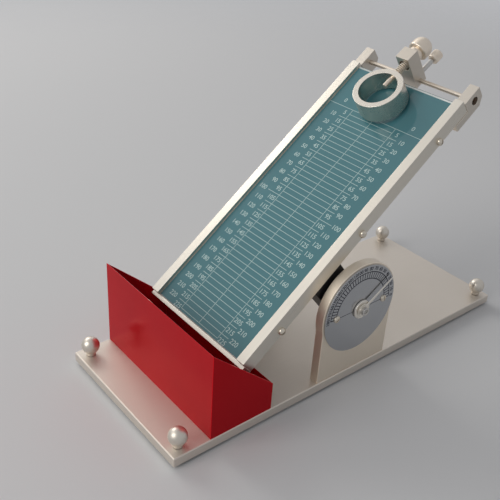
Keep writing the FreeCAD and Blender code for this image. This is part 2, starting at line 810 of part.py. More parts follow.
# Cross rod: turns in the brackets, kept in place by a headed screw in each end
ROD_SCREW = SimpleNamespace(
    diameter=d.rod_screw_diameter,
    head_diameter=d.rod_recess_diameter - 2 * d.head_recess,
    head_height=d.rod_screw_head_height,
)
rod = bar("y", -rod_end, rod_end, d.rod_diameter, rod_place)
rod_holes = []
rod_screws = []
for side in SIDES.values():
    depth = d.small_screw_grip
    rod_holes.append(tapped("y", side * rod_end, side, rod_place, ROD_SCREW, depth + d.head_recess))
    rod_screws.append(screw("y", side * (rod_end + d.fixed_fit), side, rod_place, ROD_SCREW, depth))
node("cross_rod", DECK, cut(rod, *rod_holes))
node("rod_end_screws", DECK, *rod_screws)

# Release head: a block on the cross rod with a spring bore, a spindle guide and a clamping hole
# X runs along the spindle from the ring to the knob, with the rod's axis at the origin
half_block = d.block_depth / 2
spindle_at = (0, d.spindle_rise)
head_block = block(
    (-half_block, half_block),
    (-d.block_width / 2, d.block_width / 2),
    (-d.block_below_rod, d.block_above_rod),
)
spring_seat = d.spring_bore_depth - half_block
thumb_bore = d.thumb_stud_diameter + 2 * d.running_fit
spindle_bore = d.spindle_diameter + 2 * d.running_fit
head_holes = [
    bar("y", -d.block_width / 2, d.block_width / 2, d.rod_diameter + 2 * d.running_fit),
    bar("x", -half_block, spring_seat, d.spring_bore_diameter, spindle_at),
    bar("x", spring_seat, half_block, spindle_bore, spindle_at),
    bar("x", half_block - d.guide_depth, half_block, d.guide_diameter + 2 * d.fixed_fit, spindle_at),
    bar("x", 0, half_block, thumb_bore),
]
node("release_block", ARM, cut(head_block, *head_holes))

# Guide bush: pressed in the block's rear, with a collar that stops the knob
collar_end = half_block + d.guide_collar_length
guide = join(
    bar("x", half_block - d.guide_depth, half_block, d.guide_diameter, spindle_at),
    bar("x", half_block, collar_end, d.guide_collar_diameter, spindle_at),
)
guide_bore = bar("x", half_block - d.guide_depth, collar_end, spindle_bore, spindle_at)
node("guide_bush", ARM, cut(guide, guide_bore))

# Plunger: a spindle with a flange that the ring is fixed against and a pin that reaches into the ring,
# drawn back by a domed knob against a spring
ring_outer = d.ring_outer_diameter / 2
ring_rear = ring_outer - d.ring_reach
spot_face = ring_rear - d.ring_spot_depth
flange_front = spot_face + d.fixed_fit
flange_rear = flange_front + d.flange_thickness
pin_end = ring_rear - d.ring_wall - d.pin_reach
knob_front = collar_end + d.knob_stop_gap
spindle_end = knob_front + d.spindle_in_knob
pin_radius = d.pin_diameter / 2
flange_radius = d.flange_diameter / 2
spindle_radius = d.spindle_diameter / 2
spindle = turning("x", pin_end, spindle_at, [
    (0, 0),
    (pin_radius, 0),
    (pin_radius, flange_front - pin_end),
    (flange_radius, flange_front - pin_end),
    (flange_radius, flange_rear - pin_end),
    (spindle_radius, flange_rear - pin_end),
    (spindle_radius, spindle_end - pin_end),
    (0, spindle_end - pin_end),
])
node("plunger_spindle", ARM, spindle)

ring_bottom = d.rod_below_glass + d.ring_glass_gap
ring_inner = ring_outer - d.ring_wall
ring = turning("z", ring_bottom, (-d.ring_reach, 0), [
    (ring_inner, 0),
    (ring_outer - d.ring_chamfer, 0),
    (ring_outer, d.ring_chamfer),
    (ring_outer, d.ring_height - d.ring_chamfer),
    (ring_outer - d.ring_chamfer, d.ring_height),
    (ring_inner, d.ring_height),
])
ring_hole = bar("x", -d.ring_reach, ring_rear, d.pin_diameter + 2 * d.fixed_fit, spindle_at)
ring_spot = bar("x", spot_face, ring_rear, d.flange_diameter + 2 * d.screw_passage, spindle_at)
node("release_ring", ARM, cut(ring, ring_hole, ring_spot))

barrel_end = knob_front + d.knob_barrel
knob = join(
    bar("x", knob_front, barrel_end, d.knob_diameter, spindle_at),
    ball(d.knob_diameter, "x", barrel_end, spindle_at),
)
knob_ahead = block(
    (barrel_end - d.knob_diameter, knob_front),
    (-d.knob_diameter, d.knob_diameter),
    (d.spindle_rise - d.knob_diameter, d.spindle_rise + d.knob_diameter),
)
knob_bore = bar("x", knob_front, spindle_end + d.fixed_fit, d.spindle_diameter + 2 * d.fixed_fit, spindle_at)
node("release_knob", ARM, cut(knob, knob_ahead, knob_bore))

# Spring: one wound wire round the spindle, from the flange to the seat in the block
TURN_PARTS = 4


def arc(start, corner, end):
    """The arc that leaves start and reaches end along the lines to their common corner."""
    chord_middle = (start + end) * 0.5
    half_chord = (end - start).Length / 2
    rise = corner - chord_middle
    quarter_turn = math.atan2(rise.Length, half_chord) / 2
    summit = chord_middle + rise * (half_chord * math.tan(quarter_turn) / rise.Length)
    return Part.Arc(start, summit, end).toShape()


def biarc(start, start_way, end, end_way):
    """Two arcs that meet smoothly between two points with given directions."""
    chord = end - start
    ways = start_way + end_way
    spread = 2 * (1 - start_way.dot(end_way))
    reach = (math.sqrt(chord.dot(ways) ** 2 + spread * chord.dot(chord)) - chord.dot(ways)) / spread
    first = start + start_way * reach
    second = end - end_way * reach
    meeting = (first + second) * 0.5
    return [arc(start, first, meeting), arc(meeting, second, end)]


def wound_wire(start, end, axis_height, coil_radius, turns, wire_radius):
    """A helix of wire about an axis along X."""
    advance = (end - start) / turns
    steps = round(turns * TURN_PARTS)

    def point(step):
        angle = 2 * math.pi * step / TURN_PARTS
        along = start + (end - start) * step / steps
        sideways = coil_radius * math.sin(angle)
        height = axis_height + coil_radius * math.cos(angle)
        return FreeCAD.Vector(along, sideways, height)

    def way(step):
        angle = 2 * math.pi * step / TURN_PARTS
        round_speed = 2 * math.pi * coil_radius
        heading = FreeCAD.Vector(advance, round_speed * math.cos(angle), -round_speed * math.sin(angle))
        return heading.normalize()

    pieces = []
    for step in range(steps):
        pieces += biarc(point(step), way(step), point(step + 1), way(step + 1))
    path = Part.Wire(pieces)
    section = Part.Wire([Part.Circle(point(0), way(0), wire_radius).toShape()])
    solid = path.makePipeShell([section], True, False)
    samples = path.discretize(Number=steps * 12)
    apart = samples[0].distanceToPoint(samples[1]) * 1.02
    nearest = min(
        samples[first].distanceToPoint(samples[second])
        for first in range(len(samples))
        for second in range(first + int(math.pi * coil_radius / apart), len(samples))
    )
    print(f"spring: least gap to itself {nearest - 2 * wire_radius:.2f} mm, "
          f"volume ratio {solid.Volume / (math.pi * wire_radius ** 2 * path.Length):.4f}")
    return solid


wire_radius = d.spring_wire.number / 2
end_room = wire_radius + d.spring_end_gap.number
spring = doc.addObject("Part::Feature", "spring")
spring.Shape = wound_wire(
    flange_rear.number + end_room,
    spring_seat.number - end_room,
    d.spindle_rise.number,
    d.spring_diameter.number / 2 - wire_radius,
    d.spring_turns.number,
    wire_radius,
)
node("plunger_spring", ARM, spring)

# Thumbscrew: a stud through the block's rear that clamps the head on the rod, with a turned knob
thumb_tip = d.rod_diameter / 2 + d.thumb_rod_gap
thumb_knob_front = half_block + d.thumb_stud_reach
thumb_knob_end = thumb_knob_front + d.thumb_knob_length
thumb_overlap = d.thumb_knob_length * 0.7
stud = bar("x", thumb_tip, thumb_knob_front + thumb_overlap, d.thumb_stud_diameter)
node("thumb_stud", ARM, stud)
thumb_radius = d.thumb_knob_diameter / 2
thumb_knob = turning("x", thumb_knob_front, (0, 0), [
    (0, thumb_overlap + d.fixed_fit),
    (d.thumb_stud_diameter / 2 + d.fixed_fit, thumb_overlap + d.fixed_fit),
    (d.thumb_stud_diameter / 2 + d.fixed_fit, 0),
    (thumb_radius - d.thumb_knob_chamfer, 0),
    (thumb_radius, d.thumb_knob_chamfer),
    (thumb_radius, d.thumb_knob_length - d.thumb_knob_chamfer),
    (thumb_radius - d.thumb_knob_chamfer, d.thumb_knob_length),
    (0, d.thumb_knob_length),
])
node("thumb_knob", ARM, thumb_knob)

doc.recompute()
for thing in doc.Objects:
    if "Invalid" in thing.State or "Error" in thing.State:
        raise RuntimeError(f"{thing.Label} could not be made: {thing.State}")
for piece in NODES:
    if piece.Shape.isNull() or not piece.Shape.isValid() or not piece.Shape.Solids:
        raise RuntimeError(f"{piece.Label} has no sound shape")

os.makedirs("parts", exist_ok=True)
for piece in NODES:
    piece.Shape.exportStep(os.path.join("parts", f"{piece.Label}.step"))
print(f"{len(NODES)} nodes, {sum(len(piece.Shape.Solids) for piece in NODES)} solids")
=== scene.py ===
import json
import math

import bmesh
import bpy
from mathutils import Matrix, Vector

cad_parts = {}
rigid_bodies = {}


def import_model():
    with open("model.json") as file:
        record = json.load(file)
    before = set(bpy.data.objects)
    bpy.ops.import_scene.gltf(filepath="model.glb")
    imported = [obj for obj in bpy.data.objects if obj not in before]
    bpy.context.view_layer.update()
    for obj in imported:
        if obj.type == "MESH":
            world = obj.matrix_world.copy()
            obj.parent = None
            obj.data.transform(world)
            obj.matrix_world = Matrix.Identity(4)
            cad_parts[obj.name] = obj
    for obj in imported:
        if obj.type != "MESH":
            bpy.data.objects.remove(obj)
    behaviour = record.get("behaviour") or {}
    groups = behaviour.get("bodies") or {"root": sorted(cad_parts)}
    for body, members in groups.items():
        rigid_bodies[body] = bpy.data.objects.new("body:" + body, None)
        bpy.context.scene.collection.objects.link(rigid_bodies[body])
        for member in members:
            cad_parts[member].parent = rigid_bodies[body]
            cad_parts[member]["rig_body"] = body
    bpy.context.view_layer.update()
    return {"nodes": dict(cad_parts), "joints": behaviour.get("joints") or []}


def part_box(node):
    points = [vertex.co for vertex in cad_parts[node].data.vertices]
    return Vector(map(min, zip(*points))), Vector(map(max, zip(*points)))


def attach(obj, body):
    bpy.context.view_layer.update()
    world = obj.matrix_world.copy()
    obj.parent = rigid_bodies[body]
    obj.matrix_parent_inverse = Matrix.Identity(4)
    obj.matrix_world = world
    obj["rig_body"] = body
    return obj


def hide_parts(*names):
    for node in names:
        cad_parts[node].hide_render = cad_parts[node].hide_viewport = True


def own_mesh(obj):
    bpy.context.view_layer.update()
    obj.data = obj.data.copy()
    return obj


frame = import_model()
mm = 0.001

# Base plate: one thick steel plate, ground and plated to a warm satin, its edges broken by hand.
# Its fine grain runs along the plate, and handling has left faint cloudy marks on it.


def add_node(tree, kind, inputs=(), **settings):
    """A shader node with its settings, its input values and the sockets that feed it."""
    made = tree.nodes.new(kind)
    for key, value in settings.items():
        setattr(made, key, value)
    for key, value in dict(inputs).items():
        if isinstance(value, bpy.types.NodeSocket):
            tree.links.new(value, made.inputs[key])
        else:
            made.inputs[key].default_value = value
    return made


def shared_effect(name, inputs, outputs):
    """An empty shader group with named sockets, its input node and its output node."""
    group = bpy.data.node_groups.new(name, "ShaderNodeTree")
    for socket, kind in inputs:
        group.interface.new_socket(name=socket, in_out="INPUT", socket_type=kind)
    for socket, kind in outputs:
        group.interface.new_socket(name=socket, in_out="OUTPUT", socket_type=kind)
    return group, group.nodes.new("NodeGroupInput"), group.nodes.new("NodeGroupOutput")


def ground_grain():
    """Long fine scratches: Turn lays them along the piece, and Stretch gives lines per metre each way."""
    group, given, result = shared_effect(
        "ground_grain",
        [("Turn", "NodeSocketVector"), ("Stretch", "NodeSocketVector")],
        [("Line", "NodeSocketFloat")],
    )
    place = add_node(group, "ShaderNodeTexCoord")
    turned = add_node(group, "ShaderNodeMapping", {
        "Vector": place.outputs["Object"], "Rotation": given.outputs["Turn"],
    })
    stretched = add_node(group, "ShaderNodeMapping", {
        "Vector": turned.outputs["Vector"], "Scale": given.outputs["Stretch"],
    })
    lines = add_node(group, "ShaderNodeTexNoise", {
        "Vector": stretched.outputs["Vector"], "Scale": 1.0, "Detail": 3.0, "Roughness": 0.6,
    })
    group.links.new(lines.outputs["Fac"], result.inputs["Line"])
    return group


def handling_marks():
    """Soft clouds left by hands and cloths: Size is their number per metre."""
    group, given, result = shared_effect(
        "handling_marks", [("Size", "NodeSocketFloat")], [("Cloud", "NodeSocketFloat")],
    )
    place = add_node(group, "ShaderNodeTexCoord")
    clouds = add_node(group, "ShaderNodeTexNoise", {
        "Vector": place.outputs["Object"], "Scale": given.outputs["Size"], "Detail": 4.0, "Roughness": 0.55,
    })
    shaped = add_node(group, "ShaderNodeMapRange", {
        "Value": clouds.outputs["Fac"], "From Min": 0.35, "From Max": 0.7,
    })
    group.links.new(shaped.outputs["Result"], result.inputs["Cloud"])
    return group


def rubbed_edges():
    """Where edges are rubbed bright: one on a worked piece's rounded edges, nothing on its flat faces."""
    group, _, result = shared_effect("rubbed_edges", [], [("Edge", "NodeSocketFloat")])
    edge = add_node(group, "ShaderNodeAttribute", attribute_name="rubbed")
    group.links.new(edge.outputs["Fac"], result.inputs["Edge"])
    return group


GRAIN = ground_grain()
MARKS = handling_marks()
RUBBED = rubbed_edges()


def new_finish(name):
    """A new material, its nodes and its shader."""
    made = bpy.data.materials.new(name)
    made.use_nodes = True
    return made, made.node_tree, made.node_tree.nodes["Principled BSDF"]


def mixed(tree, factor, first, second):
    """A colour between two, by a factor: sockets 6, 7 and 2 are the colours of the Mix node."""
    return add_node(tree, "ShaderNodeMix", {0: factor, 6: first, 7: second}, data_type="RGBA").outputs[2]


def tinted(colour, share):
    """A colour made darker or lighter by a share."""
    return (*(min(1.0, part * share) for part in colour), 1.0)


def between(tree, value, low, high):
    """A value from 0 to 1, brought between two others."""
    ranged = add_node(tree, "ShaderNodeMapRange", {"Value": value, "To Min": low, "To Max": high})
    return ranged.outputs["Result"]


def embossed(tree, shader, height, strength, depth):
    """Fine relief on a surface."""
    relief = add_node(tree, "ShaderNodeBump", {"Height": height, "Strength": strength, "Distance": depth})
    tree.links.new(relief.outputs["Normal"], shader.inputs["Normal"])


def satin_metal(
    name, colour, roughness, turn=(0, 0, 0), stretch=(30, 2500, 2500), bump=0.05, cloud=14.0, bare=1.0,
):
    """Ground or turned metal with a grain, cloudy marks and bright rubbed edges.
    Bare is the share of open metal, less than 1 under a dull coat."""
    made, tree, shader = new_finish(name)
    shader.inputs["Metallic"].default_value = bare
    grain = add_node(tree, "ShaderNodeGroup", {"Turn": turn, "Stretch": stretch}, node_tree=GRAIN)
    marks = add_node(tree, "ShaderNodeGroup", {"Size": cloud}, node_tree=MARKS)
    rubbed = add_node(tree, "ShaderNodeGroup", node_tree=RUBBED)
    scratch_tint = tinted(colour, 0.94)
    ridge_tint = tinted(colour, 1.05)
    cloud_tint = tinted(colour, 0.97)
    worn_tint = tinted(colour, 1.16)
    ground = mixed(tree, grain.outputs["Line"], scratch_tint, ridge_tint)
    marked = mixed(tree, marks.outputs["Cloud"], ground, cloud_tint)
    bright = mixed(tree, rubbed.outputs["Edge"], marked, worn_tint)
    tree.links.new(bright, shader.inputs["Base Color"])
    wiped = 0.03
    clouded = 0.05
    scratched = 0.08
    rough = add_node(tree, "ShaderNodeMath", {
        0: grain.outputs["Line"],
        1: scratched,
        2: between(tree, marks.outputs["Cloud"], roughness - wiped, roughness + clouded),
    }, operation="MULTIPLY_ADD")
    tree.links.new(rough.outputs["Value"], shader.inputs["Roughness"])
    embossed(tree, shader, grain.outputs["Line"], bump, depth=0.05 * mm)
    return made


def add_object(name, data):
    """A new object in the scene."""
    made = bpy.data.objects.new(name, data)
    bpy.context.scene.collection.objects.link(made)
    return made


def put_in(name, mesh, body, material):
    """A finished piece in the scene, riding on its body."""
    piece = add_object(name, mesh)
    mesh.materials.clear()
    mesh.materials.append(material)
    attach(piece, body)
    return piece


def mesh_of(work, name):
    """The finished mesh, once the work on it is done."""
    mesh = bpy.data.meshes.new(name)
    work.to_mesh(mesh)
    work.free()
    return mesh


def even_faces(mesh):
    """Shading that keeps flat faces flat up to their rounded edges."""
    mesh.polygons.foreach_set("use_smooth", [True] * len(mesh.polygons))
    totals = [Vector() for _ in mesh.vertices]
    for face in mesh.polygons:
        for corner in face.vertices:
            totals[corner] += face.normal * face.area
    mesh.normals_split_custom_set_from_vertices([total.normalized() for total in totals])
    mesh.update()


weld = 0.001 * mm
flat_angle = math.radians(0.5)
sharp_angle = math.radians(32)


def machined(node, edge, material, segments=3):
    """A worked piece in place of its solid, with its sharp edges rounded to a width of edge."""
    source = frame["nodes"][node]
    work = bmesh.new()
    work.from_mesh(source.data)
    rubbed = work.faces.layers.float.new("rubbed")
    bmesh.ops.remove_doubles(work, verts=work.verts, dist=weld)
    bmesh.ops.dissolve_limit(work, angle_limit=flat_angle, verts=work.verts, edges=work.edges)
    bmesh.ops.recalc_face_normals(work, faces=work.faces)
    sharp = [one for one in work.edges if one.is_manifold and one.calc_face_angle() > sharp_angle]
    edges = bmesh.ops.bevel(
        work, geom=sharp, offset=edge, segments=segments, profile=0.5, affect="EDGES", clamp_overlap=False,
    )
    for face in edges["faces"]:
        face[rubbed] = 1.0
    mesh = mesh_of(work, f"{node}_worked")
    even_faces(mesh)
    piece = put_in(f"{node}_worked", mesh, source["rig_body"], material)
    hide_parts(node)


base_satin = satin_metal(
    "base_satin", colour=(0.75, 0.69, 0.62), roughness=0.46, stretch=(12, 1800, 1800), bump=0.04, bare=0.7,
)
base_edge = 0.2 * mm
machined("base_plate", base_edge, base_satin)

# Levelling feet: chromed ball knobs on steel studs through the plate's corners, with rubber pads below.
# Each ball is turned in one piece with its short neck, and bored from below for its stud.


def rounded(points, radius):
    """A turning's outline with its inner corners rounded."""
    corner_steps = 4
    most_of_side = 0.45
    outline = [Vector(points[0])]
    for before, corner, after in zip(points, points[1:], points[2:]):
        before, corner, after = Vector(before), Vector(corner), Vector(after)
        reach = min(radius, (before - corner).length * most_of_side, (after - corner).length * most_of_side)
        start = corner + (before - corner).normalized() * reach
        end = corner + (after - corner).normalized() * reach
        for step in range(corner_steps + 1):
            share = step / corner_steps
            outline.append(start * (1 - share) ** 2 + corner * 2 * share * (1 - share) + end * share ** 2)
    outline.append(Vector(points[-1]))
    return outline


def shade(mesh, crease=35):
    """Smooth shading that keeps the edges sharper than crease, in degrees."""
    mesh.polygons.foreach_set("use_smooth", [True] * len(mesh.polygons))
    mesh.set_sharp_from_angle(angle=math.radians(crease))
    mesh.update()


def turned(outline, space, segments, ridge=None):
    """A mesh turned about the Z axis of a space: the outline gives radius and height.
    A ridge, if given, says how far the radius sinks at a height and an angle."""
    work = bmesh.new()
    rings = []
    for radius, height in outline:
        if radius < weld:
            rings.append([work.verts.new(space @ Vector((0, 0, height)))])
            continue
        ring = []
        for step in range(segments):
            angle = 2 * math.pi * step / segments
            reach = radius - (ridge(height, angle) if ridge else 0)
            point = Vector((reach * math.cos(angle), reach * math.sin(angle), height))
            ring.append(work.verts.new(space @ point))
        rings.append(ring)
    for low, high in zip(rings, rings[1:]):
        for step in range(segments):
            following = (step + 1) % segments
            corners = [low[step % len(low)], low[following % len(low)]]
            corners += [high[following % len(high)], high[step % len(high)]]
            different = list(dict.fromkeys(corners))
            if len(different) > 2:
                work.faces.new(different)
    bmesh.ops.recalc_face_normals(work, faces=work.faces)
    mesh = mesh_of(work, "turning")
    shade(mesh)
    return mesh


def stand_in(node, mesh, material):
    """A finished mesh in place of a node, under a name of its own."""
    mesh.name = f"{node}_made"
    piece = put_in(f"{node}_made", mesh, frame["nodes"][node]["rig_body"], material)
    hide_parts(node)
    return piece


def fine_specks():
    """An even fine grain, as on moulded, sprayed or printed skins: Grains is their number per metre."""
    group, given, result = shared_effect(
        "fine_specks",
        [("Grains", "NodeSocketFloat"), ("Detail", "NodeSocketFloat")],
        [("Speck", "NodeSocketFloat")],
    )
    place = add_node(group, "ShaderNodeTexCoord")
    specks = add_node(group, "ShaderNodeTexNoise", {
        "Vector": place.outputs["Object"],
        "Scale": given.outputs["Grains"],
        "Detail": given.outputs["Detail"],
    })
    group.links.new(specks.outputs["Fac"], result.inputs["Speck"])
    return group


SPECKS = fine_specks()
speck_roughness = 0.08


def speckled(name, colour, roughness, grains, bump):
    """A dull moulded or anodised skin with a fine even grain, in grains per metre."""
    made, tree, shader = new_finish(name)
    specks = add_node(tree, "ShaderNodeGroup", {"Grains": grains, "Detail": 2.0}, node_tree=SPECKS)
    marks = add_node(tree, "ShaderNodeGroup", {"Size": 40.0}, node_tree=MARKS)
    clean_tint = tinted(colour, 0.8)
    dusty_tint = tinted(colour, 1.3)
    skin = mixed(tree, marks.outputs["Cloud"], clean_tint, dusty_tint)
    tree.links.new(skin, shader.inputs["Base Color"])
    rough = between(tree, specks.outputs["Speck"], roughness - speck_roughness, roughness + speck_roughness)
    tree.links.new(rough, shader.inputs["Roughness"])
    embossed(tree, shader, specks.outputs["Speck"], bump, depth=0.05 * mm)
    return made


def dressed(material, *nodes):
    """Pieces whose solids are shown as they are, with their finish."""
    for node in nodes:
        mesh = frame["nodes"][node].data
        mesh.materials.clear()
        mesh.materials.append(material)


ball_chrome = satin_metal(
    "ball_chrome", colour=(0.74, 0.69, 0.615), roughness=0.33, stretch=(900, 900, 900), bump=0.01, cloud=60,
    bare=0.85,
)
screw_steel = satin_metal(
    "screw_steel", colour=(0.60, 0.585, 0.56), roughness=0.26, stretch=(3000, 3000, 400), bump=0.03, cloud=90,
)
foot_rubber = speckled("foot_rubber", colour=(0.022, 0.022, 0.022), roughness=0.72, grains=2200, bump=0.25)
bore_fit = 0.02 * mm
bore_end_room = 0.5 * mm
level_stud_radius = 3 * mm
neck_radius = 4 * mm
neck_top = 0.2 * mm
neck_round = 0.4 * mm
ball_steps = 28
ball_sides = 48
for corner in ("front_left", "front_right", "rear_left", "rear_right"):
    low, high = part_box(f"ball_knob_{corner}")
    ball_radius = (high.y - low.y) / 2
    ball_middle = high.z - ball_radius
    bore_radius = level_stud_radius + bore_fit
    bore_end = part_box(f"level_stud_{corner}")[1].z + bore_end_room
    meeting = ball_middle - math.sqrt(ball_radius ** 2 - neck_radius ** 2)
    start = math.asin(neck_radius / ball_radius)
    ball_outline = rounded([
        (0, bore_end), (bore_radius, bore_end), (bore_radius, low.z), (neck_radius, low.z),
        (neck_radius, meeting - neck_top), (neck_radius, meeting),
    ], neck_round)
    for step in range(1, ball_steps + 1):
        angle = start + (math.pi - start) * step / ball_steps
        height = ball_middle - ball_radius * math.cos(angle)
        ball_outline.append(Vector((ball_radius * math.sin(angle), height)))
    upright = Matrix.Translation(((low.x + high.x) / 2, (low.y + high.y) / 2, 0))
    stand_in(f"ball_knob_{corner}", turned(ball_outline, upright, ball_sides), ball_chrome)
    dressed(screw_steel, f"level_stud_{corner}")
    dressed(foot_rubber, f"foot_pad_{corner}")

# Catch tray: folded sheet steel, tall in front and low behind, in glossy red enamel.
# The enamel has a faint orange-peel surface and thins to a lighter red on the folds.
# Screws hold the tray to the base plate.
tray_enamel, tree, shader = new_finish("tray_enamel")
shader.inputs["Metallic"].default_value = 0.25
shader.inputs["Specular IOR Level"].default_value = 0.06
marks = add_node(tree, "ShaderNodeGroup", {"Size": 9.0}, node_tree=MARKS)
rubbed = add_node(tree, "ShaderNodeGroup", node_tree=RUBBED)
peel = add_node(tree, "ShaderNodeGroup", {"Grains": 420.0, "Detail": 1.0}, node_tree=SPECKS)
red = (0.54, 0.005, 0.012)
thick_red = tinted(red, 0.92)
thin_red = tinted(red, 1.08)
fold_red = tinted(red, 1.5)
coat = mixed(tree, marks.outputs["Cloud"], thick_red, thin_red)
folds = mixed(tree, rubbed.outputs["Edge"], coat, fold_red)
tree.links.new(folds, shader.inputs["Base Color"])
tree.links.new(between(tree, marks.outputs["Cloud"], low=0.16, high=0.24), shader.inputs["Roughness"])
embossed(tree, shader, peel.outputs["Speck"], strength=0.05, depth=0.1 * mm)
tray_edge = 0.4 * mm
machined("ball_tray", tray_edge, tray_enamel)
dressed(screw_steel, "tray_screws")

# Stands: two machined aluminium plates with round heads that carry the deck's pivot.
# Screws from below hold them to the base plate, and flanged brass bushes line their bores.
stand_satin = satin_metal(
    "stand_satin", colour=(0.84, 0.75, 0.63), roughness=0.42, turn=(0, math.radians(90), 0), bump=0.05,
    bare=0.85,
)
bush_brass = satin_metal(
    "bush_brass", colour=(0.62, 0.43, 0.16), roughness=0.28, stretch=(2500, 200, 2500), bump=0.03, cloud=60,
)
stand_edge = 0.5 * mm
for side in ("right", "left"):
    machined(f"stand_{side}", stand_edge, stand_satin)
    dressed(bush_brass, f"bush_{side}")
dressed(screw_steel, "stand_screws")

# Angle dial: a thin polished aluminium disc on the right stand, printed with a half-circle of degrees.
# Two arcs hold the tick marks, with a number at every ten degrees outside them.
# Two slotted screws with domed heads hold the disc.
dial_polish = satin_metal(
    "dial_polish", colour=(0.46, 0.47, 0.49), roughness=0.12, stretch=(60, 900, 900), bump=0.01, cloud=30,
)
dial_edge = 0.15 * mm
machined("dial_plate", dial_edge, dial_polish)


def printed(name, colour, roughness):
    """Screen-printed ink, a little uneven."""
    made, tree, shader = new_finish(name)
    ink = add_node(tree, "ShaderNodeGroup", {"Grains": 700.0, "Detail": 2.0}, node_tree=SPECKS)
    full_tint = tinted(colour, 0.88)
    thin_tint = tinted(colour, 1.1)
    tone = mixed(tree, ink.outputs["Speck"], full_tint, thin_tint)
    tree.links.new(tone, shader.inputs["Base Color"])
    rough = between(tree, ink.outputs["Speck"], roughness - speck_roughness, roughness + speck_roughness)
    tree.links.new(rough, shader.inputs["Roughness"])
    return made


def strip(work, space, start, end, width):
    """A printed line of ink between two points of a flat face."""
    start, end = Vector(start), Vector(end)
    across = Vector((start.y - end.y, end.x - start.x)).normalized() * width / 2
    flat = [start + across, start - across, end - across, end + across]
    low = [work.verts.new(space @ Vector((*point, 0))) for point in flat]
    high = [work.verts.new(space @ Vector((*point, ink_film))) for point in flat]
    work.faces.new(low)
    work.faces.new(high[::-1])
    for one in range(4):
        following = (one + 1) % 4
        work.faces.new((low[one], high[one], high[following], low[following]))


def settled(piece):
    """The mesh that an object comes to once its letters or cuts are worked out; the object itself goes."""
    bpy.context.view_layer.update()
    mesh = bpy.data.meshes.new_from_object(piece.evaluated_get(bpy.context.evaluated_depsgraph_get()))
    bpy.data.objects.remove(piece)
    return mesh


def figure_mesh(number, height, weight, side="CENTER"):
    """A number of ink with figures of the given height.
    Weight thickens its strokes, and side sets it to its place."""
    figure_share = 0.69
    curve = bpy.data.curves.new("figures", "FONT")
    curve.body = str(number)
    curve.size = height / figure_share
    curve.align_x = side
    curve.offset = weight
    curve.align_y = "CENTER"
    curve.extrude = ink_film / 2
    curve.resolution_u = 3
    mesh = settled(add_object("figures", curve))
    bpy.data.curves.remove(curve)
    return mesh


def write(work, mesh, space, place, turn=0.0):
    """Adds a number at a place of a flat face, turned about that place."""
    copy = mesh.copy()
    copy.transform(space @ Matrix.Translation((*place, 0)) @ Matrix.Rotation(turn, 4, "Z"))
    work.from_mesh(copy)
    bpy.data.meshes.remove(copy)


def ink_mesh(work):
    """The printed mesh with its faces turned outward."""
    bmesh.ops.recalc_face_normals(work, faces=work.faces)
    return mesh_of(work, "print")


def outward(degree):
    """The way out from the dial's middle, counted from its right end."""
    return Vector((math.cos(math.radians(degree)), math.sin(math.radians(degree))))


joints = {joint["name"]: joint for joint in frame["joints"]}
pivot = Vector(joints["deck_tilt"]["pos_m"])
dial_low, dial_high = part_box("dial_plate")
dial_radius = (dial_high.x - dial_low.x) / 2
dial_face = Matrix.Translation((pivot.x, dial_low.y, pivot.z)) @ Matrix.Rotation(math.radians(90), 4, "X")
ink_film = 0.03 * mm
inner_arc = dial_radius - 12 * mm
outer_arc = dial_radius - 6 * mm
number_arc = dial_radius - 3.2 * mm
dial_line = 0.75 * mm
base_line = 0.5 * mm
dial_figures = 3 * mm
dial_stroke = 0.12 * mm
dial_top = 90
dial_end = 180
arc_step = 3
tick_step = 5
number_step = 10
work = bmesh.new()
for arc_radius in (inner_arc, outer_arc):
    for degree in range(0, dial_end, arc_step):
        start = outward(degree) * arc_radius
        end = outward(degree + arc_step) * arc_radius
        strip(work, dial_face, start, end, dial_line)
for degree in range(0, dial_end + 1, tick_step):
    strip(work, dial_face, outward(degree) * inner_arc, outward(degree) * outer_arc, dial_line)
strip(work, dial_face, (-outer_arc, 0), (outer_arc, 0), base_line)
for degree in range(0, dial_end + 1, number_step):
    figures = figure_mesh(degree, dial_figures, dial_stroke)
    write(work, figures, dial_face, outward(degree) * number_arc, math.radians(degree - dial_top))
dial_ink = printed("dial_ink", colour=(0.006, 0.012, 0.03), roughness=0.4)
put_in("dial_print", ink_mesh(work), "base", dial_ink)


def reach_of(places):
    """Lowest and highest corner of some points."""
    low = Vector([min(place[axis] for place in places) for axis in range(3)])
    high = Vector([max(place[axis] for place in places) for axis in range(3)])
    return low, high


def solids_of(node, space):
    """Lowest and highest corner of each separate solid of a node, along the axes of a space."""
    work = bmesh.new()
    work.from_mesh(frame["nodes"][node].data)
    bmesh.ops.remove_doubles(work, verts=work.verts, dist=weld)
    back = space.inverted()
    seen = set()
    boxes = []
    for first in work.verts:
        if first in seen:
            continue
        seen.add(first)
        group = [first]
        for corner in group:
            for edge in corner.link_edges:
                other = edge.other_vert(corner)
                if other not in seen:
                    seen.add(other)
                    group.append(other)
        boxes.append(reach_of([back @ corner.co for corner in group]))
    work.free()
    return boxes


def cut_by(mesh, size, space):
    """A mesh with a box cut out of it: the box has a size and stands at the origin of a space."""
    work = bmesh.new()
    bmesh.ops.create_cube(work, size=1.0, matrix=space @ Matrix.Diagonal((*size, 1.0)))
    cutter = add_object("cutter", mesh_of(work, "cutter"))
    whole = add_object("whole", mesh)
    change = whole.modifiers.new("slot", "BOOLEAN")
    change.object = cutter
    change.operation = "DIFFERENCE"
    result = settled(whole)
    bpy.data.objects.remove(cutter)
    return result


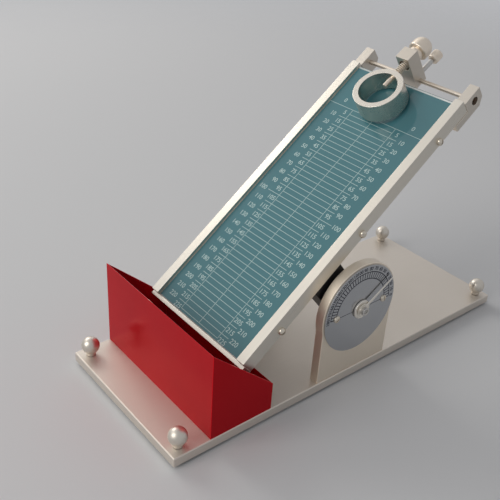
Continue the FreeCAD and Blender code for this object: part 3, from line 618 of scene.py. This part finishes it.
def round_headed(node, space, head_height, slot_width, crown, spread):
    """Slotted screws with domed heads in place of a node's plain ones, along the Y axis of a space.
    Their heads point away from its middle.
    Crown is how far the dome stands above the plain head, and spread how much wider it is."""
    dome_steps = 8
    head_sides = 32
    work = bmesh.new()
    for number, (low, high) in enumerate(solids_of(node, space)):
        middle = (low + high) / 2
        out = Vector((0, 1, 0)) * (1 if middle.y > 0 else -1)
        plain_radius = (high.x - low.x) / 2
        head_radius = plain_radius * spread
        shank_radius = plain_radius * 0.53
        length = (high - low).y
        shank_end = head_height - length
        top = head_height + crown
        rim = head_height * 0.35
        seat = middle + out * (length / 2 - head_height)
        screw_space = space @ Matrix.Translation(seat) @ out.to_track_quat("Z", "Y").to_matrix().to_4x4()
        outline = [(0, shank_end), (shank_radius, shank_end), (shank_radius, 0), (head_radius, 0)]
        for step in range(dome_steps + 1):
            angle = math.pi / 2 * step / dome_steps
            radius = head_radius * math.cos(angle) if step < dome_steps else 0
            outline.append((radius, rim + (top - rim) * math.sin(angle)))
        slot_depth = top * 0.4
        slot_angle = 0.6 + 1.1 * number
        slot_turn = Matrix.Rotation(slot_angle, 4, "Z")
        slot_space = screw_space @ slot_turn @ Matrix.Translation((0, 0, top))
        slot_size = (3 * head_radius, slot_width, 2 * slot_depth)
        slotted = cut_by(turned(outline, screw_space, head_sides), slot_size, slot_space)
        work.from_mesh(slotted)
        bpy.data.meshes.remove(slotted)
    bmesh.ops.dissolve_degenerate(work, dist=weld, edges=work.edges)
    mesh = mesh_of(work, "screws")
    shade(mesh, crease=30)
    stand_in(node, mesh, head_bright)


head_bright = satin_metal(
    "head_bright", colour=(0.74, 0.68, 0.58), roughness=0.2, stretch=(900, 900, 900), bump=0.01, cloud=90,
)
round_headed("dial_screws", Matrix(), head_height=1.4 * mm, slot_width=0.8 * mm, crown=0.5 * mm, spread=1.35)

# Pointer: a turned hub on the shaft's nose carries a thin bright steel needle, and turns with the deck.
# A washer and a socket screw hold both.
pointer_bright = satin_metal(
    "pointer_bright", colour=(0.80, 0.76, 0.69), roughness=0.28, stretch=(900, 900, 900), bump=0.01, cloud=90,
)
hub_edge = 0.2 * mm
needle_edge = 0.42 * mm
washer_edge = 0.1 * mm
pointer_screw_edge = 0.2 * mm
machined("pointer_hub", hub_edge, pointer_bright)
machined("pointer_needle", needle_edge, pointer_bright, segments=1)
machined("pointer_washer", washer_edge, pointer_bright, segments=2)
machined("pointer_screw", pointer_screw_edge, screw_steel, segments=2)

# Pivot under the deck: a ground steel shaft in two blocks of black anodised aluminium, screwed to the deck.
# A fluted knob of moulded black plastic on the shaft's left end locks the deck's tilt.
shaft_ground = satin_metal(
    "shaft_ground", colour=(0.70, 0.63, 0.545), roughness=0.34, stretch=(40, 2000, 40), bump=0.01, cloud=60,
)
block_black = speckled("block_black", colour=(0.010, 0.010, 0.011), roughness=0.42, grains=3000, bump=0.1)
knob_black = speckled("knob_black", colour=(0.014, 0.014, 0.015), roughness=0.5, grains=1500, bump=0.2)
pivot_block_edge = 0.6 * mm
dressed(shaft_ground, "pivot_shaft")
for side in ("right", "left"):
    machined(f"pivot_block_{side}", pivot_block_edge, block_black)
dressed(screw_steel, "pivot_block_screws", "shaft_grub_screws", "lock_washer")
lock_low, lock_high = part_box("lock_knob")
lock_radius = (lock_high.x - lock_low.x) / 2
lock_length = lock_high.y - lock_low.y
lock_bore = 4 * mm
lock_collar = lock_bore + 1 * mm
back_chamfer = 1 * mm
front_chamfer = 1.5 * mm
recess_mouth = lock_radius * 0.6
recess_foot = lock_radius * 0.55
recess_floor = lock_length - 1 * mm
lock_round = 0.8 * mm
lock_space = Matrix.Translation((pivot.x, lock_low.y, pivot.z)) @ Matrix.Rotation(math.radians(-90), 4, "X")
lock_outline = rounded([
    (lock_bore, 0), (lock_radius - back_chamfer, 0), (lock_radius, back_chamfer),
    (lock_radius, lock_length - front_chamfer), (lock_radius - front_chamfer, lock_length),
    (recess_mouth, lock_length), (recess_foot, recess_floor), (lock_collar, recess_floor),
    (lock_bore, recess_floor), (lock_bore, 0),
], lock_round)
lock_flutes = 20
lock_sides = lock_flutes * 10
flute_depth = 0.7 * mm
flute_start = 0.8 * mm
flute_end = lock_length - 1.2 * mm


def grip_fade(height, start, end):
    """One along a grip, falling to nothing over the last millimetre at each end."""
    return min(1.0, max(0.0, (height - start) / mm), max(0.0, (end - height) / mm))


def lock_grip(height, angle):
    """Finger flutes round the lock knob's rim."""
    flute = max(0.0, math.cos(angle * lock_flutes)) ** 2
    return grip_fade(height, flute_start, flute_end) * flute_depth * flute


stand_in("lock_knob", turned(lock_outline, lock_space, lock_sides, lock_grip), knob_black)

# Deck: a milled aluminium board under a sheet of glass, which is painted teal on its back.
# The glass is printed with the scale: a cross line every 5 mm, a middle line, and figures in four columns.
slope = math.radians(-joints["deck_tilt"]["range_deg"][0])
deck_space = Matrix.Translation(pivot) @ Matrix.Rotation(-slope, 4, "Y")
along_deck = (0, slope, 0)
board_milled = satin_metal(
    "board_milled", colour=(0.42, 0.42, 0.415), roughness=0.4, turn=along_deck, stretch=(500, 60, 500),
)
board_edge = 0.3 * mm
machined("deck_board", board_edge, board_milled, segments=2)

scale_teal, tree, shader = new_finish("scale_teal")
shader.inputs["IOR"].default_value = 1.52
marks = add_node(tree, "ShaderNodeGroup", {"Size": 7.0}, node_tree=MARKS)
teal = (0.072, 0.225, 0.262)
deep_teal = tinted(teal, 0.95)
light_teal = tinted(teal, 1.06)
paint = mixed(tree, marks.outputs["Cloud"], deep_teal, light_teal)
tree.links.new(paint, shader.inputs["Base Color"])
tree.links.new(between(tree, marks.outputs["Cloud"], low=0.05, high=0.1), shader.inputs["Roughness"])
# Pale speckled paint used as a painted highlight, standing in for the glint of the glass's polished edges.
painted_glint_glass = speckled("painted_glint_glass", colour=(0.74, 0.82, 0.82), roughness=0.35, grains=1800, bump=0.05)


def reach_in(space, node):
    """Lowest and highest corner of a node along the axes of a space."""
    back = space.inverted()
    return reach_of([back @ corner.co for corner in frame["nodes"][node].data.vertices])


glass_low, glass_high = reach_in(deck_space, "scale_glass")
# The arris round the glass's top face and a strip just short of its high end are painted pale. This is a
# painted highlight of the polished glass edge. The arris at the high end itself stays teal.
glass_arris = 0.8 * mm
glint_start = glass_high.x - 2.4 * mm
glint_end = glass_high.x - glass_arris
near_top = glass_high.z - 0.1 * mm
work = bmesh.new()
glass_size = Matrix.Diagonal((*(glass_high - glass_low), 1.0))
bmesh.ops.create_cube(work, size=1.0, matrix=Matrix.Translation((glass_low + glass_high) / 2) @ glass_size)
top_edges = [one for one in work.edges if all(corner.co.z > near_top for corner in one.verts)]
arris = bmesh.ops.bevel(work, geom=top_edges, offset=glass_arris, segments=1, affect="EDGES")
for face in arris["faces"]:
    face.material_index = 1
everything = work.verts[:] + work.edges[:] + work.faces[:]
bmesh.ops.bisect_plane(work, geom=everything, plane_co=(glint_start, 0, 0), plane_no=(1, 0, 0))
for face in work.faces:
    along = face.calc_center_median().x
    if along > glint_start:
        face.material_index = 1 if along < glint_end else 0
work.transform(deck_space)
glass_mesh = mesh_of(work, "glass")
glint_faces = [face.material_index for face in glass_mesh.polygons]
stand_in("scale_glass", glass_mesh, scale_teal)
glass_mesh.materials.append(painted_glint_glass)
glass_mesh.polygons.foreach_set("material_index", glint_faces)

scale_length = 225
fives = 5
tens = 10
outset_mark = 100
scale_end = glass_low.x + 3 * mm
zero_line = scale_end + scale_length * mm
sheet_turn = Matrix.Rotation(math.radians(-90), 4, "Z")
sheet_space = deck_space @ Matrix.Translation((zero_line, 0, glass_high.z)) @ sheet_turn
half_grid = 25 * mm
tick_reach = 33.8 * mm
outset_tick_reach = 39.5 * mm
full_line = 54 * mm
fives_column = 30.6 * mm
tens_columns = {"LEFT": 36.2 * mm, "RIGHT": -38 * mm}
outset_columns = {"LEFT": 40.2 * mm, "RIGHT": -42 * mm}
zero_column = 39.4 * mm
zero_lift = 6 * mm
scale_line = 0.45 * mm
figure_height = 4.1 * mm
figure_stroke = 0.06 * mm
work = bmesh.new()
for across in (-half_grid, 0, half_grid):
    strip(work, sheet_space, (across, 0), (across, -scale_length * mm), scale_line)
strip(work, sheet_space, (-full_line, 0), (full_line, 0), scale_line)
for distance in range(fives, scale_length + 1, fives):
    line_height = -distance * mm
    outset = distance == outset_mark
    reach = outset_tick_reach if outset else half_grid if distance % tens else tick_reach
    strip(work, sheet_space, (-reach, line_height), (reach, line_height), scale_line)
    if distance % tens:
        figures = figure_mesh(distance, figure_height, figure_stroke)
        for column in (-fives_column, fives_column):
            write(work, figures, sheet_space, (column, line_height))
        continue
    for side, column in (outset_columns if outset else tens_columns).items():
        figures = figure_mesh(distance, figure_height, figure_stroke, side)
        write(work, figures, sheet_space, (column, line_height))
zero = figure_mesh(0, figure_height, figure_stroke)
for column in (-zero_column, zero_column):
    write(work, zero, sheet_space, (column, zero_lift))
scale_ink = printed("scale_ink", colour=(0.48, 0.66, 0.66), roughness=0.35)
put_in("scale_print", ink_mesh(work), "deck", scale_ink)

# Rails and lip: drawn aluminium bars along both sides of the glass and across its low end.
# Slotted screws with tall domed heads hold each rail to the board.
rail_satin = satin_metal(
    "rail_satin", colour=(0.74, 0.70, 0.625), roughness=0.27, turn=along_deck, stretch=(16, 2200, 2200),
    bump=0.04,
)
rail_edge = 0.25 * mm
lip_edge = 0.3 * mm
for side in ("right", "left"):
    machined(f"rail_{side}", rail_edge, rail_satin)
machined("end_lip", lip_edge, rail_satin)
round_headed("rail_screws", deck_space, head_height=2 * mm, slot_width=0.9 * mm, crown=1.5 * mm, spread=1.15)
dressed(screw_steel, "lip_screws")

# Brackets and cross rod: satin aluminium blocks are screwed on past the rails' high ends.
# They hold a ground steel rod, which turns in them and has screws in its ends. Those screws are coloured dark
# brown as painted shade for the recesses they sit in.
bracket_satin = satin_metal(
    "bracket_satin", colour=(0.66, 0.61, 0.54), roughness=0.3, turn=along_deck, bump=0.05, bare=0.9,
)
# Dark brown for the rod-end screws: painted shade for the recesses in the brackets' ends.
painted_shade_brown = satin_metal(
    "painted_shade_brown", colour=(0.15, 0.095, 0.065), roughness=0.3, stretch=(900, 900, 900), bump=0.02, cloud=90,
)
bracket_edge = 0.25 * mm
for side in ("right", "left"):
    machined(f"bracket_{side}", bracket_edge, bracket_satin)
dressed(screw_steel, "bracket_screws")
dressed(painted_shade_brown, "rod_end_screws")
dressed(shaft_ground, "cross_rod")

# Release head: a nickel-plated steel block on the rod holds a turned guide bush, in which a spindle slides.
# The spindle carries a polished ring in front, and a turned domed knob behind draws it back.
pull = Vector(joints["plunger_pull"]["axis"])
arm_turn = math.atan2(pull.z, pull.x)
along_arm = (0, arm_turn, 0)
rod_axis = Vector(joints["arm_swing"]["pos_m"])
block_low, block_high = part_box("release_block")
head_middle = (block_low.y + block_high.y) / 2
arm_space = Matrix.Translation((rod_axis.x, head_middle, rod_axis.z)) @ Matrix.Rotation(-arm_turn, 4, "Y")
head_satin = satin_metal(
    "head_satin", colour=(0.66, 0.605, 0.53), roughness=0.32, turn=along_arm, stretch=(1500, 60, 1500),
    bump=0.05, bare=0.88,
)
turned_satin = satin_metal(
    "turned_satin", colour=(0.88, 0.78, 0.66), roughness=0.28, turn=along_arm, stretch=(2600, 90, 90),
    bump=0.06, bare=0.85,
)
ring_polish = satin_metal(
    "ring_polish", colour=(0.71, 0.67, 0.60), roughness=0.23, turn=along_arm, stretch=(1500, 60, 1500),
    bump=0.03, bare=0.95,
)
block_edge = 0.25 * mm
guide_edge = 0.2 * mm
ring_edge = 0.15 * mm
spindle_edge = 0.2 * mm
machined("release_block", block_edge, head_satin)
machined("guide_bush", guide_edge, turned_satin)
machined("release_ring", ring_edge, ring_polish)
machined("plunger_spindle", spindle_edge, turned_satin, segments=2)

lathe_turn = Matrix.Rotation(math.radians(90), 4, "Y")
knob_low, knob_high = reach_in(arm_space, "release_knob")
knob_room = 0.01 * mm
knob_radius = (knob_high.y - knob_low.y) / 2 - knob_room
knob_length = knob_high.x - knob_low.x
knob_height = (knob_low.z + knob_high.z) / 2
knob_space = arm_space @ Matrix.Translation((knob_low.x, 0, knob_height)) @ lathe_turn
spindle_radius = 2 * mm
bore_radius = spindle_radius + bore_fit
bore_end = reach_in(arm_space, "plunger_spindle")[1].x - knob_low.x + bore_end_room
barrel = knob_length - knob_radius
knob_chamfer = 0.8 * mm
knob_round = 0.6 * mm
knob_steps = 20
knob_sides = 72
knob_outline = rounded([
    (0, bore_end), (bore_radius, bore_end), (bore_radius, 0), (knob_radius - knob_chamfer, 0),
    (knob_radius, knob_chamfer), (knob_radius, barrel / 2), (knob_radius, barrel),
], knob_round)
for step in range(1, knob_steps + 1):
    angle = math.pi / 2 * step / knob_steps
    knob_outline.append(Vector((knob_radius * math.cos(angle), barrel + knob_radius * math.sin(angle))))
stand_in("release_knob", turned(knob_outline, knob_space, knob_sides), turned_satin)

# Plunger spring: one length of drawn steel wire, wound to a coil round the spindle.
# It sits between the spindle's flange and its seat in the block. The real spring shortens as the knob is
# pulled; this coil is drawn at one length.
spring_low, spring_high = reach_in(arm_space, "plunger_spring")
wire_radius = 0.5 * mm
spring_turns = 8.5
coil_radius = (spring_high.y - spring_low.y) / 2 - wire_radius
coil_start = spring_low.x + wire_radius
coil_end = spring_high.x - wire_radius
coil_rise = (coil_end - coil_start) / spring_turns
coil_round = 2 * math.pi * coil_radius
turn_steps = 28
wire_sides = 10
steps = round(spring_turns * turn_steps)
work = bmesh.new()
rings = []
for step in range(steps + 1):
    angle = 2 * math.pi * step / turn_steps
    along = coil_start + (coil_end - coil_start) * step / steps
    out = Vector((0, math.sin(angle), math.cos(angle)))
    heading = Vector((coil_rise, coil_round * math.cos(angle), -coil_round * math.sin(angle))).normalized()
    beside = heading.cross(out)
    centre = Vector((along, 0, knob_height)) + out * coil_radius
    ring = []
    for side in range(wire_sides):
        round_wire = 2 * math.pi * side / wire_sides
        point = centre + (out * math.cos(round_wire) + beside * math.sin(round_wire)) * wire_radius
        ring.append(work.verts.new(arm_space @ point))
    rings.append(ring)
for first, second in zip(rings, rings[1:]):
    for side in range(wire_sides):
        following = (side + 1) % wire_sides
        work.faces.new((first[side], first[following], second[following], second[side]))
work.faces.new(rings[0])
work.faces.new(rings[-1])
bmesh.ops.recalc_face_normals(work, faces=work.faces)
spring_mesh = mesh_of(work, "spring")
shade(spring_mesh, crease=60)
spring_wire = satin_metal(
    "spring_wire", colour=(0.80, 0.73, 0.63), roughness=0.36, stretch=(800, 800, 800), bump=0.02, cloud=120,
    bare=0.7,
)
spring = stand_in("plunger_spring", spring_mesh, spring_wire)
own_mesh(spring)

# Thumbscrew: a steel stud with a small turned knob, straight-knurled on its side.
# It is screwed into the block from behind and clamps the head on the rod.
thumb_low, thumb_high = reach_in(arm_space, "thumb_knob")
thumb_radius = (thumb_high.y - thumb_low.y) / 2
thumb_length = thumb_high.x - thumb_low.x
thumb_space = arm_space @ Matrix.Translation((thumb_low.x, 0, 0)) @ lathe_turn
thumb_stud_radius = 2.25 * mm
bore_radius = thumb_stud_radius + bore_fit
bore_end = reach_in(arm_space, "thumb_stud")[1].x - thumb_low.x + bore_end_room
thumb_chamfer = 0.9 * mm
thumb_round = 0.5 * mm
side_low = thumb_length * 0.35
side_high = thumb_length * 0.65
thumb_outline = rounded([
    (0, bore_end), (bore_radius, bore_end), (bore_radius, 0), (thumb_radius - thumb_chamfer, 0),
    (thumb_radius, thumb_chamfer), (thumb_radius, side_low), (thumb_radius, side_high),
    (thumb_radius, thumb_length - thumb_chamfer), (thumb_radius - thumb_chamfer, thumb_length),
    (0, thumb_length),
], thumb_round)
thumb_ridges = 32
thumb_sides = thumb_ridges * 6
knurl_depth = 0.3 * mm
knurl_start = 0.7 * mm
knurl_end = thumb_length - knurl_start


def thumb_knurl(height, angle):
    """Straight knurling on the thumb knob's side."""
    groove = 0.5 - 0.5 * math.cos(angle * thumb_ridges)
    return grip_fade(height, knurl_start, knurl_end) * knurl_depth * groove


stand_in("thumb_knob", turned(thumb_outline, thumb_space, thumb_sides, thumb_knurl), turned_satin)
dressed(screw_steel, "thumb_stud")

# Stage: a pale floor that fades into an even pale surround.
# A soft key and a wide window stand on the left, and a third soft lamp in front.
floor_half = 8.0
floor_corners = [(-floor_half, -floor_half, 0), (floor_half, -floor_half, 0)]
floor_corners += [(floor_half, floor_half, 0), (-floor_half, floor_half, 0)]
floor_mesh = bpy.data.meshes.new("floor")
floor_mesh.from_pydata(floor_corners, [], [(0, 1, 2, 3)])
floor = add_object("floor", floor_mesh)
floor_paint, tree, shader = new_finish("floor_paint")
shader.inputs["Base Color"].default_value = (0.72, 0.73, 0.75, 1)
shader.inputs["Roughness"].default_value = 0.85
fade_start = 0.8
fade_end = 1.9
place = add_node(tree, "ShaderNodeTexCoord")
reach = add_node(tree, "ShaderNodeVectorMath", {0: place.outputs["Object"]}, operation="LENGTH")
faded = add_node(tree, "ShaderNodeMapRange", {
    "Value": reach.outputs["Value"],
    "From Min": fade_start, "From Max": fade_end, "To Min": 1.0, "To Max": 0.0,
}, interpolation_type="SMOOTHSTEP")
tree.links.new(faded.outputs["Result"], shader.inputs["Alpha"])
floor_mesh.materials.append(floor_paint)


def soft_lamp(name, place, size, power, colour):
    """A wide soft lamp that points at the object."""
    aim = Vector((0, 0, 0.1))
    lamp = bpy.data.lights.new(name, "AREA")
    lamp.shape = "RECTANGLE"
    lamp.size, lamp.size_y = size
    lamp.energy = power
    lamp.color = colour
    holder = add_object(name, lamp)
    holder.location = place
    holder.rotation_euler = (aim - Vector(place)).to_track_quat("-Z", "Y").to_euler()


soft_lamp("key_lamp", place=(-0.22, 2.3, 1.45), size=(1.2, 1.2), power=14, colour=(1.0, 0.96, 0.90))
soft_lamp("window_lamp", place=(0.1, 2.0, 1.8), size=(5.0, 2.6), power=15, colour=(1.0, 0.97, 0.92))
soft_lamp("front_lamp", place=(-2.4, 0.3, 1.6), size=(1.8, 1.8), power=28, colour=(1.0, 0.96, 0.90))
world = bpy.data.worlds.new("surround")
bpy.context.scene.world = world
world.use_nodes = True
tree = world.node_tree
surround = tree.nodes["Background"]
surround.inputs["Color"].default_value = (0.84, 0.85, 0.88, 1)
ray = add_node(tree, "ShaderNodeLightPath")
mirrored = add_node(tree, "ShaderNodeMath", {
    0: ray.outputs["Is Glossy Ray"], 1: ray.outputs["Is Transmission Ray"],
}, operation="MAXIMUM")
looked_at = add_node(tree, "ShaderNodeMath", {
    0: ray.outputs["Is Camera Ray"], 1: mirrored.outputs["Value"],
}, operation="MAXIMUM")
fill_light = 0.3
backdrop_light = 0.55
level = between(tree, looked_at.outputs["Value"], fill_light, backdrop_light)
tree.links.new(level, surround.inputs["Strength"])

# Camera: stands where the photograph was taken from.
# Its place and lens were worked out from the scale's lines and the base plate's corners.
camera = bpy.data.cameras.new("camera")
camera.sensor_width = 36
camera.lens = 54.32
camera.shift_x = -0.0759
camera.shift_y = -0.0218
holder = add_object("camera", camera)
ahead = Vector((0.59846, 0.63407, -0.48969)).normalized()
right = Vector((0.75497, -0.65086, 0.07990))
right = (right - ahead * right.dot(ahead)).normalized()
up = right.cross(ahead)
eye = Vector((-0.4049, -0.40147, 0.41523))
holder.matrix_world = Matrix.Translation(eye) @ Matrix((right, up, -ahead)).transposed().to_4x4()
bpy.context.scene.camera = holder
bpy.context.scene.view_settings.view_transform = "Standard"
